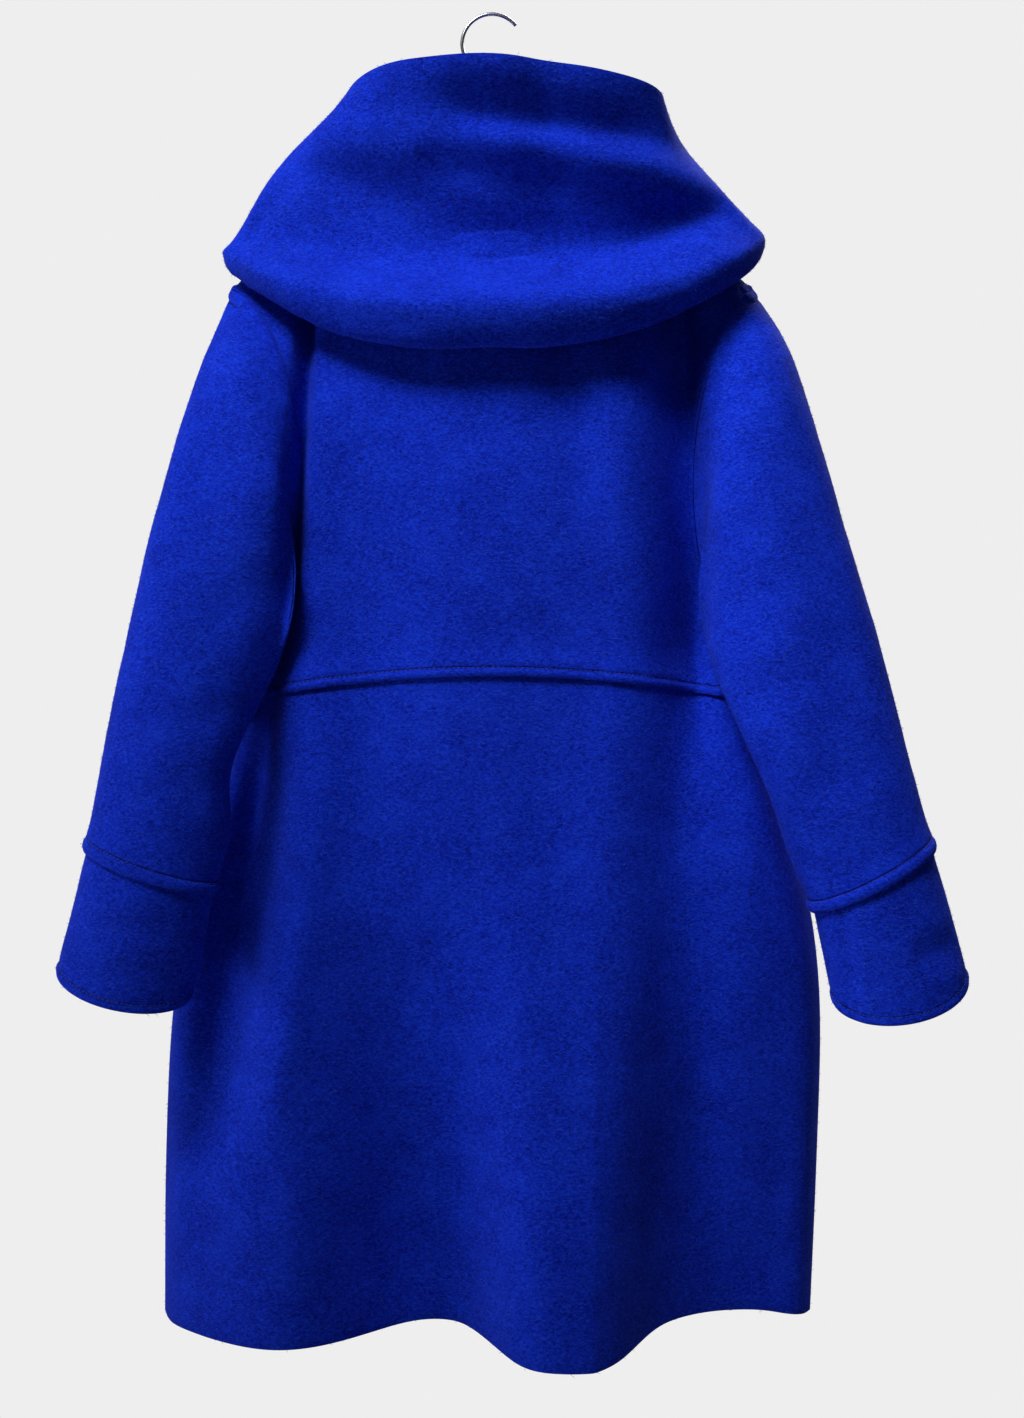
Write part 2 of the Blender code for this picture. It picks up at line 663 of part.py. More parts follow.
def bar_middle_z(x):
    """Height of the bar's centre line: under the shoulder cloth, rising to a crown at the neck."""
    under = shoulder_z(max(abs(x), NECK_HALF_WIDTH)) - BAR_BELOW_SHOULDER
    crown = smooth_step(abs(x), 0.0, NECK_HALF_WIDTH)
    return lerp(BAR_CROWN_Z, under, crown)


def make_bar(material):
    bm = bmesh.new()
    rings = []
    for i in range(BAR_STATIONS):
        x = lerp(-BAR_HALF_LENGTH, BAR_HALF_LENGTH, i / (BAR_STATIONS - 1))
        size = 1.0 - 0.25 * (abs(x) / BAR_HALF_LENGTH) ** 4
        ring = []
        for k in range(BAR_SIDES):
            turn = 2 * math.pi * k / BAR_SIDES
            y = size * BAR_THICKNESS / 2 * math.sin(turn)
            z = bar_middle_z(x) + size * BAR_HEIGHT / 2 * math.cos(turn)
            ring.append(bm.verts.new(Vector((x, y, z)) * MM))
        rings.append(ring)
    for first, second in zip(rings, rings[1:]):
        for k in range(BAR_SIDES):
            n = (k + 1) % BAR_SIDES
            bm.faces.new((first[k], first[n], second[n], second[k]))
    bm.faces.new(reversed(rings[0]))
    bm.faces.new(rings[-1])
    bmesh.ops.recalc_face_normals(bm, faces=bm.faces)
    return finish("hanger_bar", bm, material)


def main():
    clear_scene()
    wool = make_material("boiled_wool", (0.012, 0.035, 0.42), 0.95, 0.0)
    steel = make_material("hook_steel", (0.62, 0.63, 0.65), 0.3, 1.0)
    beech = make_material("bar_beech", (0.55, 0.38, 0.22), 0.5, 0.0)
    make_back(wool)
    make_fronts(wool)
    make_sleeve("sleeve_left", 1, LEFT_SLEEVE, wool)
    make_sleeve("sleeve_right", -1, RIGHT_SLEEVE, wool)
    make_cuff("cuff_left", 1, LEFT_SLEEVE, LEFT_CUFF, wool)
    make_cuff("cuff_right", -1, RIGHT_SLEEVE, RIGHT_CUFF, wool)
    make_hood(wool)
    make_hook(steel)
    make_bar(beech)


main()
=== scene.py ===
# %% [markdown]
# # A hooded coat on its hanger
#
# The coat is cut from boiled wool, a knit that was felted until it became a thick, matt cloth
# with a soft nap. It hangs with its back to us, and its hood lies down in heavy rolls. This lesson
# loads the solids of the coat as a frame, turns each piece of cloth into a smooth shell with its own
# creases, and then gives wool, thread, wood and wire their finish.

import math
from collections import namedtuple

import bmesh
import bpy
import numpy as np
from mathutils import Matrix, Vector, noise
from mathutils.bvhtree import BVHTree
from mathutils.kdtree import KDTree


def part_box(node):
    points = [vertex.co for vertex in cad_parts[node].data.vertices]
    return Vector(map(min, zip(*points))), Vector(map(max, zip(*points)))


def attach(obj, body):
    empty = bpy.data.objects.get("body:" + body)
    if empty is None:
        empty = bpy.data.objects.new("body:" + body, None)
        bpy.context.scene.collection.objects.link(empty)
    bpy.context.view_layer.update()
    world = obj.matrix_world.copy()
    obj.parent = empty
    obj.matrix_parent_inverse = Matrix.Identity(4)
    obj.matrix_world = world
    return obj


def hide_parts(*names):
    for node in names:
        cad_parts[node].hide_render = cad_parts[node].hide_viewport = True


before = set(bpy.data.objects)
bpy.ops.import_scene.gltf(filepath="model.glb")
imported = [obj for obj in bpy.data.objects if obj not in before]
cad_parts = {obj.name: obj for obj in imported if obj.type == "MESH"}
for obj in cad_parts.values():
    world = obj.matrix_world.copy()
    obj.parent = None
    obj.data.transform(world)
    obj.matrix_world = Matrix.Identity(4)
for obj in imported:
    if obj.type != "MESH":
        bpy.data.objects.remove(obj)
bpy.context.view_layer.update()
MM = 0.001
print("solids:", ", ".join(sorted(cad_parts)))

# %% [markdown]
# ## The view
#
# The camera stands level with the middle of the coat and looks at its back from two metres. Its lens
# follows from the height of the picture at the coat: a frame 1.276 m tall seen from 2 m.

# %% Camera
VIEW_TARGET = Vector((-0.018, 0.0, -0.6237))
VIEW_DISTANCE = 2.0
PICTURE_HEIGHT = 1.2762

camera_data = bpy.data.cameras.new("camera")
camera_data.lens = camera_data.sensor_width * VIEW_DISTANCE / PICTURE_HEIGHT
camera = bpy.data.objects.new("camera", camera_data)
camera.location = VIEW_TARGET + Vector((0.0, VIEW_DISTANCE, 0.0))
camera.rotation_euler = (math.radians(90.0), 0.0, math.radians(180.0))
bpy.context.scene.collection.objects.link(camera)
bpy.context.scene.camera = camera
print("lens", round(camera_data.lens, 2), "mm")

# %% [markdown]
# ## Colours and nodes
#
# Colours are written as the hex values that a screen shows, and one function turns them to the linear
# values that a shader works in. One small function adds a node, sets it and links it, so each material
# below reads as a list of what it is made of.


# %% Colour and node helpers
def linear(hex_colour):
    """The linear colour of an sRGB hex value such as 1e3fc8."""
    parts = [int(hex_colour[i : i + 2], 16) / 255 for i in (0, 2, 4)]
    return tuple(p / 12.92 if p <= 0.04045 else ((p + 0.055) / 1.055) ** 2.4 for p in parts) + (1.0,)


def add(tree, kind, links=(), inputs=(), **settings):
    """A node of a kind: its settings, its input values and the sockets that feed it."""
    node = tree.nodes.new(kind)
    for name, value in settings.items():
        setattr(node, name, value)
    for name, value in dict(inputs).items():
        node.inputs[name].default_value = value
    for name, source in dict(links).items():
        tree.links.new(source, node.inputs[name])
    return node


def new_material(name):
    """An empty material with its shader and output."""
    made = bpy.data.materials.new(name)
    made.use_nodes = True
    return made, made.node_tree, made.node_tree.nodes["Principled BSDF"]


print("cobalt in linear light:", [round(c, 3) for c in linear("1531b4")])

# %% [markdown]
# ## Boiled wool
#
# Felting locks the knit's loops into a dense mat. Close up the surface is a crowd of short curled
# tufts that lie mostly across the cloth, 2 to 6 mm wide and about 2 mm tall, with dark pits between
# them. The tufts are noise stretched sideways, drawn in bump and in a colour that follows their height,
# with painted shade in the pits and painted light on the tips, over a slow mottling where the dye and
# the nap vary. The cloth is dull, so it has high roughness, a weak reflection and the soft sheen of
# loose fibre ends. Patterns read the object's own coordinates, in millimetres.

# %% Tufts
TUFT_WIDTH = 3.4
TUFT_HEIGHT = 1.7
CLOUD_WIDTH = 38.0
FINE_SHARE = 0.32
CLOUD_SHARE = 0.16


def wool_tufts(tree, place):
    """The height of the tufts, and a tone of painted pit shade from it, mixed with the slow dye mottling.
    """
    tuft_scale = (1000 / TUFT_WIDTH, 1000 / TUFT_WIDTH, 1000 / TUFT_HEIGHT)
    across = add(tree, "ShaderNodeMapping", {"Vector": place}, {"Scale": tuft_scale}).outputs["Vector"]
    tufts = add(
        tree,
        "ShaderNodeTexNoise",
        {"Vector": across},
        {"Scale": 1.0, "Detail": 3.0, "Roughness": 0.62, "Distortion": 0.9},
    ).outputs["Fac"]
    fine = add(
        tree,
        "ShaderNodeTexNoise",
        {"Vector": across},
        {"Scale": 2.7, "Detail": 2.0, "Roughness": 0.7, "Distortion": 1.6},
    ).outputs["Fac"]
    clouds = add(
        tree,
        "ShaderNodeTexNoise",
        {"Vector": place},
        {"Scale": 1000 / CLOUD_WIDTH, "Detail": 3.0, "Roughness": 0.55},
    ).outputs["Fac"]
    height = add(
        tree, "ShaderNodeMix", {"A": tufts, "B": fine}, {"Factor": FINE_SHARE}, data_type="FLOAT"
    ).outputs["Result"]
    shade = add(
        tree, "ShaderNodeMix", {"A": height, "B": clouds}, {"Factor": CLOUD_SHARE}, data_type="FLOAT"
    ).outputs["Result"]
    return height, shade


print("wool tufts", TUFT_WIDTH, "x", TUFT_HEIGHT, "mm")

# %% Groove of a topstitch
STITCH_PULL = 0.9


def stitch_groove(tree):
    """1 on a stitch line and 0 two millimetres away, from the distance that the mesh stores."""
    off_line = add(tree, "ShaderNodeAttribute", attribute_name="stitch_line").outputs["Fac"]
    squared = add(
        tree, "ShaderNodeMath", {0: off_line, 1: off_line}, operation="MULTIPLY"
    ).outputs["Value"]
    falling = add(
        tree, "ShaderNodeMath", {0: squared}, {1: -1.0 / STITCH_PULL**2}, operation="MULTIPLY"
    ).outputs["Value"]
    return add(tree, "ShaderNodeMath", {0: falling}, operation="EXPONENT").outputs["Value"]


print("a topstitch draws the wool down over", 2 * STITCH_PULL, "mm")

# %% Boiled wool material
# Painted shade in the tufts' pits and painted light on their tips, over darker and paler dye
WOOL_SHADED_PITS_DARK_DYE = "051780"
WOOL_MIDDLE = "0c29bc"
WOOL_LIT_TIPS_PALE_DYE = "1840e0"
# Painted shade for the groove that a topstitch draws into the wool
WOOL_GROOVE_SHADE = "020a48"
TUFT_RELIEF = 1.5 * MM
GROOVE_DEPTH = 0.7
GROOVE_SHADE_STRENGTH = 0.7


def make_wool():
    wool, tree, shader = new_material("boiled_wool_cobalt")
    place = add(tree, "ShaderNodeTexCoord").outputs["Object"]
    height, shade = wool_tufts(tree, place)
    groove = stitch_groove(tree)
    # The ramp turns tuft height into painted shade and light, with the dye's slow mottling
    ramp = add(tree, "ShaderNodeValToRGB", {"Fac": shade})
    ramp.color_ramp.elements[0].position = 0.385
    ramp.color_ramp.elements[0].color = linear(WOOL_SHADED_PITS_DARK_DYE)
    ramp.color_ramp.elements[1].position = 0.63
    ramp.color_ramp.elements[1].color = linear(WOOL_LIT_TIPS_PALE_DYE)
    ramp.color_ramp.elements.new(0.5).color = linear(WOOL_MIDDLE)
    # Painted shade darkens the wool along the stitch line, beside the bump that sinks it
    dark = add(
        tree, "ShaderNodeMath", {0: groove}, {1: GROOVE_SHADE_STRENGTH}, operation="MULTIPLY"
    ).outputs["Value"]
    colour = add(
        tree,
        "ShaderNodeMix",
        {"Factor": dark, "A": ramp.outputs["Color"]},
        {"B": linear(WOOL_GROOVE_SHADE)},
        data_type="RGBA",
    ).outputs["Result"]
    sunk = add(
        tree, "ShaderNodeMath", {0: groove, 2: height}, {1: -GROOVE_DEPTH}, operation="MULTIPLY_ADD"
    ).outputs["Value"]
    bump = add(
        tree, "ShaderNodeBump", {"Height": sunk}, {"Strength": 0.85, "Distance": TUFT_RELIEF}
    ).outputs["Normal"]
    tree.links.new(colour, shader.inputs["Base Color"])
    tree.links.new(bump, shader.inputs["Normal"])
    shader.inputs["Roughness"].default_value = 0.93
    shader.inputs["IOR"].default_value = 1.5
    shader.inputs["Specular IOR Level"].default_value = 0.06
    shader.inputs["Sheen Weight"].default_value = 0.10
    shader.inputs["Sheen Roughness"].default_value = 0.4
    shader.inputs["Sheen Tint"].default_value = linear("6f8cff")
    return wool


wool = make_wool()
print("wool nodes:", len(wool.node_tree.nodes))

# %% [markdown]
# ## From a solid to a shell of cloth
#
# A solid arrives as loose triangles. Its copy is merged and its triangles are joined to quads, so that
# a Subdivision Surface can round the panels. The narrow strips along its edges are the cut thickness of
# the cloth: their long edges are creased, so that the panel's outline stays where its seams are. Each
# face remembers through its material index whether it is the outside, the inside or an edge strip.

# %% Merge a copy and subdivide it
JOIN_ANGLE = math.radians(50)


def merged_copy(node):
    """A solid's mesh with its loose triangles merged."""
    bm = bmesh.new()
    bm.from_mesh(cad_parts[node].data)
    bmesh.ops.remove_doubles(bm, verts=bm.verts, dist=1e-6)
    return bm


def join_quads(bm):
    """Joins triangles that share a label and nearly a plane."""
    bmesh.ops.join_triangles(
        bm,
        faces=bm.faces,
        angle_face_threshold=JOIN_ANGLE,
        angle_shape_threshold=math.radians(180),
        cmp_materials=True,
    )


def subdivided(bm, node, levels):
    """The mesh that a Subdivision Surface makes of a copy."""
    mesh = bpy.data.meshes.new(node)
    bm.to_mesh(mesh)
    bm.free()
    holder = bpy.data.objects.new(node + "_plain", mesh)
    bpy.context.scene.collection.objects.link(holder)
    rounding = holder.modifiers.new("rounding", "SUBSURF")
    rounding.levels = rounding.render_levels = levels
    seen = holder.evaluated_get(bpy.context.evaluated_depsgraph_get())
    smooth = bpy.data.meshes.new_from_object(seen)
    bpy.data.objects.remove(holder)
    return smooth


print("triangles are joined up to", round(math.degrees(JOIN_ANGLE)), "degrees")

# %% Label the outside, the inside and the edges
OUTSIDE, INSIDE, EDGE = 0, 1, 2
CLOTH = 2.6 * MM


def is_edge_strip(face):
    """True for a triangle of the cut edge: one of its sides is as long as the cloth is thick."""
    return any(abs(e.calc_length() - CLOTH) < 0.02 * MM for e in face.edges)


def flood(start, member):
    """All faces reached from one over shared edges, as long as they are members."""
    found, front = {start}, [start]
    while front:
        face = front.pop()
        for edge in face.edges:
            for other in edge.link_faces:
                if other not in found and member(other):
                    found.add(other)
                    front.append(other)
    return found


def label_layers(bm, middle):
    """Writes outside or inside in the material index of each face that isn't an edge."""
    rest = {f for f in bm.faces if f.material_index == INSIDE}
    layers = []
    while rest:
        layer = flood(next(iter(rest)), lambda f: f.material_index == INSIDE)
        rest -= layer
        flux = sum(f.calc_area() * f.normal.dot(f.calc_center_median() - middle(f)) for f in layer)
        layers.append((flux, len(layer), layer))
    for flux, _, layer in layers:
        for face in layer:
            face.material_index = OUTSIDE if flux > 0 else INSIDE
    return [(round(flux, 4), count) for flux, count, _ in layers]


print("the cloth is", round(CLOTH / MM, 1), "mm thick")


# %% Smooth a piece
def smooth_copy(node, levels, middle):
    """A mesh of a solid's form: merged, made of quads, labelled and subdivided."""
    bm = merged_copy(node)
    for face in bm.faces:
        face.material_index = EDGE if is_edge_strip(face) else INSIDE
    join_quads(bm)
    bm.normal_update()
    layers = label_layers(bm, middle)
    crease = bm.edges.layers.float.new("crease_edge")
    for edge in bm.edges:
        kinds = {f.material_index for f in edge.link_faces}
        corner = kinds == {EDGE} and edge.calc_face_angle(0.0) > JOIN_ANGLE
        if corner or (EDGE in kinds and len(kinds) > 1):
            edge[crease] = 1.0
    triangles = sum(len(f.verts) == 3 for f in bm.faces)
    smooth = subdivided(bm, node, levels)
    print(node, "layers", layers, "odd triangles", triangles, "faces", len(smooth.polygons))
    return smooth


# %% [markdown]
# ## Creases placed one by one
#
# Boiled wool is stiff, so it shows few creases, and those are broad and soft. Each is a row in a table:
# the back (+1) or the front (-1), a half-width, a depth and a path across the piece, all in millimetres.
# A trough lies between two low swells, because cloth that is pushed in somewhere comes out beside it. A
# fold beside a sleeve is steep on one side and has no swells, so its row also gives the half-width on
# the side that lies further out. A crease presses straight in and fades out towards the coat's sides, so
# that two pieces that share one stay together at their seam. On the folded hood it takes only the cloth
# that faces its side.

# %% Crease helpers
Crease = namedtuple("Crease", "face half_width depth path outer", defaults=(None,))
SWELL = 0.32
FADE = 0.3
SIDE_LINE, FULLY_BACK = 6 * MM, 34 * MM


def smooth_step(x, low, high):
    share = np.clip((x - low) / (high - low), 0.0, 1.0)
    return share * share * (3.0 - 2.0 * share)


def along_path(flat, path):
    """How far each flat point is from a path, at which share of it, and whether it lies further out."""
    corners = np.array(path) * MM
    lengths = np.linalg.norm(np.diff(corners, axis=0), axis=1)
    best, share, before = np.full(len(flat), 9.0), np.zeros(len(flat)), 0.0
    further_out = np.zeros(len(flat), dtype=bool)
    for start, end, length in zip(corners[:-1], corners[1:], lengths):
        way = np.clip((flat - start) @ (end - start) / length**2, 0.0, 1.0)
        nearest = start + way[:, None] * (end - start)
        away = np.linalg.norm(flat - nearest, axis=1)
        nearer = away < best
        best[nearer] = away[nearer]
        share[nearer] = (before + way[nearer] * length) / lengths.sum()
        further_out[nearer] = (np.abs(flat) > np.abs(nearest))[nearer, 0]
        before += length
    return best, share, further_out


def crease_depths(points, normals, creases, folded):
    """How far the creases press each point towards the front, in metres."""
    total = np.zeros(len(points))
    for c in creases:
        away, share, further_out = along_path(points[:, (0, 2)], c.path)
        away = away / np.where(further_out, c.outer or c.half_width, c.half_width) / MM
        swell = 0.0 if c.outer else SWELL
        profile = np.exp(-(away**2)) - swell * np.exp(-((away - 2.0) ** 2) / 0.7)
        ends = smooth_step(share, 0.0, FADE) * (1.0 - smooth_step(share, 1.0 - FADE, 1.0))
        if folded:
            facing = smooth_step(c.face * normals[:, 1], 0.0, 0.45)
        else:
            facing = smooth_step(c.face * points[:, 1], SIDE_LINE, FULLY_BACK)
        total += c.face * c.depth * MM * profile * ends * facing
    return total


def unevenness(points, size, height, seed):
    """A slow rise and fall of the surface, in metres."""
    shift = Vector((seed * 7.3, seed * 3.1, seed * 1.7))
    values = [noise.noise(Vector(p) / size + shift) for p in points]
    return height * np.array(values)


print("each crease fades over", FADE, "of its length at both ends")

# %% [markdown]
# ## Both sides of the cloth move together
#
# A crease is worked out on the outside of the cloth alone. Every other point, on the inside or on an
# edge, takes the push of the outside point nearest to it, so the wall keeps its thickness. Beside the
# creases, a slow unevenness of about half a millimetre keeps plain areas from looking machined.

# %% Open a shell
Shell = namedtuple("Shell", "mesh points outside quads normals partner to_edge")


def tree_of(points, which):
    """A search tree over some of the points."""
    tree = KDTree(len(which))
    for i in which:
        tree.insert(points[i], int(i))
    tree.balance()
    return tree


def open_shell(mesh):
    """The points of a shell as arrays, with normals on its outside and a partner there for each point."""
    count, faces = len(mesh.vertices), len(mesh.polygons)
    points = np.empty(count * 3)
    mesh.vertices.foreach_get("co", points)
    points = points.reshape(-1, 3)
    corners = np.empty(faces * 4, dtype=np.int32)
    mesh.polygons.foreach_get("vertices", corners)
    corners = corners.reshape(-1, 4)
    kinds = np.empty(faces, dtype=np.int32)
    mesh.polygons.foreach_get("material_index", kinds)
    quads = corners[kinds == OUTSIDE]
    spans = np.cross(points[quads[:, 2]] - points[quads[:, 0]], points[quads[:, 3]] - points[quads[:, 1]])
    normals = np.zeros_like(points)
    for k in range(4):
        np.add.at(normals, quads[:, k], spans)
    outside = np.unique(quads)
    normals[outside] /= np.linalg.norm(normals[outside], axis=1)[:, None]
    near_outside = tree_of(points, outside)
    partner = np.array([near_outside.find(p)[1] for p in points])
    partner[outside] = outside
    near_edge = tree_of(points, np.unique(corners[kinds == EDGE]))
    to_edge = np.full(count, 1.0)
    to_edge[outside] = [near_edge.find(points[i])[2] for i in outside]
    return Shell(mesh, points, outside, quads, normals, partner, to_edge)


print("a shell holds", ", ".join(Shell._fields))

# %% Press creases into a shell
SLOW_WIDTH, QUICK_WIDTH = 46 * MM, 17 * MM
UNEVEN = 0.7 * MM
QUICK_SHARE = 0.35
SEAM_DRAW = 0.28 * MM


def press(shell, moves):
    """Moves the outside points of a shell, and the rest of it along."""
    shell.points[:] = shell.points + moves[shell.partner]
    shell.mesh.vertices.foreach_set("co", shell.points.ravel())
    shell.mesh.update()


def crease_shell(shell, creases, seed, folded):
    """Creases a shell, and fades its unevenness out towards the seams."""
    at = shell.outside
    moves = np.zeros_like(shell.points)
    moves[at, 1] = -crease_depths(shell.points[at], shell.normals[at], creases, folded)
    inner = smooth_step(shell.to_edge[at], 2 * MM, 30 * MM)
    slow = unevenness(shell.points[at], SLOW_WIDTH, UNEVEN, seed)
    quick = unevenness(shell.points[at], QUICK_WIDTH, QUICK_SHARE * UNEVEN, seed + 5)
    moves[at] += shell.normals[at] * ((slow + quick) * inner)[:, None]
    press(shell, moves)


def draw_side_seam(shell):
    """Draws the edge of a front to the back skirt, so that no light passes through their seam."""
    at = shell.outside
    near = 1.0 - smooth_step(np.abs(shell.points[at, 1]), 1.5 * MM, 10 * MM)
    below_sleeve = smooth_step(-shell.points[at, 2], 560 * MM, 620 * MM)
    moves = np.zeros_like(shell.points)
    moves[at, 1] = SEAM_DRAW * near * below_sleeve
    press(shell, moves)


print("plain cloth is uneven by up to", round(UNEVEN / MM, 1), "mm")

# %% [markdown]
# ## Topstitched laps
#
# At the waist and above the cuffs the upper piece laps over the lower one and is topstitched 8 or 11 mm
# from its cut edge, and the cuffs' hems are stitched 7 mm up. The thread draws the cloth down in a thin
# dark line and leaves the band beyond it slightly puffed. The band is pressed out of the shell. The line
# is narrower than the mesh, so each point stores its distance from it, and the wool draws it as a sunk
# bump with painted shade.

# %% Lap helpers
LAP_PUFF = 1.2 * MM
STITCH_DIP = 0.6 * MM
DIP_WIDTH = 2.4 * MM
FAR_FROM_STITCH = 60.0


def lower_rim(shell):
    """Outside points along a piece's lower cut edge, with the way into the cloth at each."""
    outside = set(shell.outside.tolist())
    ways = {}
    for face in shell.mesh.polygons:
        if face.material_index == EDGE and face.normal.z < -0.5:
            for i in face.vertices:
                if i in outside:
                    ways[i] = ways.get(i, Vector()) - face.normal
    return {i: way.normalized() for i, way in ways.items()}


def lap(shell, inset):
    """Puffs the band below a stitch line, and stores each point's distance from the line."""
    off_line = np.full(len(shell.points), FAR_FROM_STITCH)
    rim = lower_rim(shell) if inset else {}
    if rim:
        near_rim = tree_of(shell.points, list(rim))
        at = shell.outside
        away = np.array([near_rim.find(shell.points[i])[2] for i in at])
        band = smooth_step(away, 0.0, 3 * MM) * (1.0 - smooth_step(away, inset - 4 * MM, inset))
        dip = np.exp(-(((away - inset) / DIP_WIDTH) ** 2))
        moves = np.zeros_like(shell.points)
        moves[at] = shell.normals[at] * (LAP_PUFF * band - STITCH_DIP * dip)[:, None]
        press(shell, moves)
        off_line[at] = (away - inset) / MM
    stored = shell.mesh.attributes.new("stitch_line", "FLOAT", "POINT")
    stored.data.foreach_set("value", off_line)
    return rim


print("a lap puffs out by", round(LAP_PUFF / MM, 1), "mm")

# %% [markdown]
# ## Rounded edges
#
# The cut edge of felted wool doesn't fray, and it wears to a soft round. A small bevel along the edge
# strips gives that, and along the seams it leaves the shallow groove where two pieces are drawn
# together.

# %% Finish a piece
EDGE_RADIUS = 0.9 * MM


def round_edges(mesh):
    bm = bmesh.new()
    bm.from_mesh(mesh)
    rims = [e for e in bm.edges if len({f.material_index == EDGE for f in e.link_faces}) == 2]
    bmesh.ops.bevel(
        bm,
        geom=rims,
        offset=EDGE_RADIUS,
        offset_type="OFFSET",
        affect="EDGES",
        segments=2,
        profile=0.5,
        material=-1,
        clamp_overlap=True,
    )
    bm.to_mesh(mesh)
    bm.free()


def finish_piece(name, mesh, material, node):
    """Makes the object of a piece, rides it on the coat's one body and shows it for its solid."""
    mesh.shade_smooth()
    mesh.materials.clear()
    mesh.materials.append(material)
    mesh.polygons.foreach_set("material_index", [0] * len(mesh.polygons))
    piece = bpy.data.objects.new(name, mesh)
    bpy.context.scene.collection.objects.link(piece)
    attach(piece, "root")
    if node:
        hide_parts(node)
    return piece


print("edges are rounded by", round(EDGE_RADIUS / MM, 1), "mm")

# %% [markdown]
# ## The pieces of the coat
#
# Each piece gets its level of subdivision, the middle line that its outside faces away from, and its
# own creases. The back shows a straight fold beside each sleeve, the sleeves break towards the elbow,
# and the hidden front has similar, plainer creases.


# %% Middle lines
def body_middle(face):
    return Vector((0.0, 0.0, face.calc_center_median().z))


def own_middle(node):
    low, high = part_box(node)
    centre = (Vector(low) + Vector(high)) / 2
    return lambda face: centre


print("the left sleeve faces away from", [round(x, 3) for x in own_middle("sleeve_left")(None)])

# %% Creases that two pieces share
LEFT_FOLD = ((161, -130), (162, -290), (166, -394), (171, -470), (176, -540), (182, -600))
LEFT_UNDERARM = ((172, -400), (176, -489), (183, -558), (192, -610), (222, -780))
RIGHT_FOLD = (
    (-166, -120),
    (-168, -240),
    (-173, -330),
    (-181, -430),
    (-184, -500),
    (-180, -570),
    (-186, -700),
)
LEFT_ARMHOLE = (
    Crease(1, 6, 25.0, LEFT_FOLD, outer=9),
    Crease(1, 8, 14.0, LEFT_UNDERARM, outer=20),
    Crease(-1, 14, 5.0, ((160, -270), (166, -420), (172, -620))),
)
RIGHT_ARMHOLE = (
    Crease(1, 34, 14.0, ((-172, -180), (-180, -420), (-184, -560), (-188, -780))),
    Crease(1, 32, 26.0, RIGHT_FOLD, outer=11),
    Crease(-1, 14, 5.0, ((-164, -270), (-170, -420), (-176, -620))),
)
print("creases at the armholes:", len(LEFT_ARMHOLE), "and", len(RIGHT_ARMHOLE))

# %% Creases of the back and the fronts
BACK_CREASES = (
    *LEFT_ARMHOLE,
    *RIGHT_ARMHOLE,
    Crease(1, 32, 16.0, ((-158, -560), (-172, -800), (-190, -1140))),
    Crease(1, 60, -6.0, ((24, -340), (6, -620), (-6, -1000))),
    Crease(1, 26, 3.0, ((112, -470), (104, -620), (96, -840))),
    Crease(1, 20, 2.0, ((-60, -330), (-86, -470))),
    Crease(1, 22, 1.6, ((90, -330), (70, -480))),
    Crease(1, 27, 28.0, ((196, -600), (214, -760), (252, -1030))),
    Crease(1, 40, 11.0, ((84, -760), (88, -960), (92, -1200))),
    Crease(1, 20, 4.0, ((-240, -820), (-252, -1110))),
    Crease(1, 20, 3.0, ((244, -960), (252, -1140))),
    Crease(1, 26, 2.0, ((-30, -640), (-40, -800))),
)
LEFT_FRONT_CREASES = (
    *LEFT_ARMHOLE,
    Crease(-1, 30, 5.0, ((120, -600), (150, -930))),
    Crease(-1, 24, 4.0, ((222, -780), (240, -1100))),
    Crease(-1, 26, 2.6, ((60, -420), (40, -700))),
)
RIGHT_FRONT_CREASES = (
    *RIGHT_ARMHOLE,
    Crease(-1, 32, 4.5, ((-130, -620), (-168, -980))),
    Crease(-1, 22, 4.0, ((-228, -760), (-238, -1060))),
    Crease(-1, 28, 2.4, ((-20, -520), (-36, -860))),
)
print("creases of the back:", len(BACK_CREASES))

# %% Creases of the sleeves, cuffs and hood
LEFT_SLEEVE_CREASES = (
    *LEFT_ARMHOLE,
    Crease(1, 18, 2.6, ((180, -500), (252, -560))),
    Crease(1, 15, 2.4, ((200, -616), (270, -640))),
    Crease(1, 16, 1.8, ((236, -706), (306, -680))),
    Crease(1, 24, 2.4, ((214, -370), (268, -470))),
    Crease(-1, 16, 3.0, ((236, -520), (304, -560))),
    Crease(-1, 15, 2.8, ((240, -660), (314, -640))),
)
RIGHT_SLEEVE_CREASES = (
    *RIGHT_ARMHOLE,
    Crease(1, 18, 2.6, ((-184, -556), (-268, -506))),
    Crease(1, 15, 2.2, ((-208, -620), (-286, -588))),
    Crease(1, 16, 1.8, ((-252, -694), (-334, -668))),
    Crease(1, 22, 2.4, ((-208, -370), (-280, -440))),
    Crease(-1, 16, 3.0, ((-244, -540), (-322, -560))),
    Crease(-1, 15, 2.8, ((-262, -680), (-342, -650))),
)
LEFT_CUFF_CREASES = (
    Crease(1, 12, 1.8, ((262, -804), (346, -816))),
    Crease(1, 10, 1.4, ((286, -850), (356, -840))),
    Crease(-1, 11, 2.2, ((270, -806), (350, -820))),
)
RIGHT_CUFF_CREASES = (
    Crease(1, 13, 3.4, ((-350, -836), (-404, -824))),
    Crease(1, 5, 2.4, ((-296, -770), (-302, -830), (-310, -920))),
    Crease(-1, 11, 2.2, ((-306, -810), (-386, -822))),
)
HOOD_CREASES = (
    Crease(1, 15, -7.5, ((70, -126), (-20, -140), (-100, -152), (-176, -160), (-236, -196))),
    Crease(1, 16, 9.0, ((80, -92), (-20, -109), (-100, -121), (-196, -124))),
    Crease(1, 20, 4.0, ((96, -84), (70, -140))),
    Crease(1, 22, 9.0, ((226, -112), (172, -146), (112, -168), (10, -188))),
    Crease(1, 6, 3.2, ((-100, -296), (-150, -284), (-206, -262))),
    Crease(1, 9, 1.6, ((40, -300), (150, -282))),
)
print("creases of the hood:", len(HOOD_CREASES))

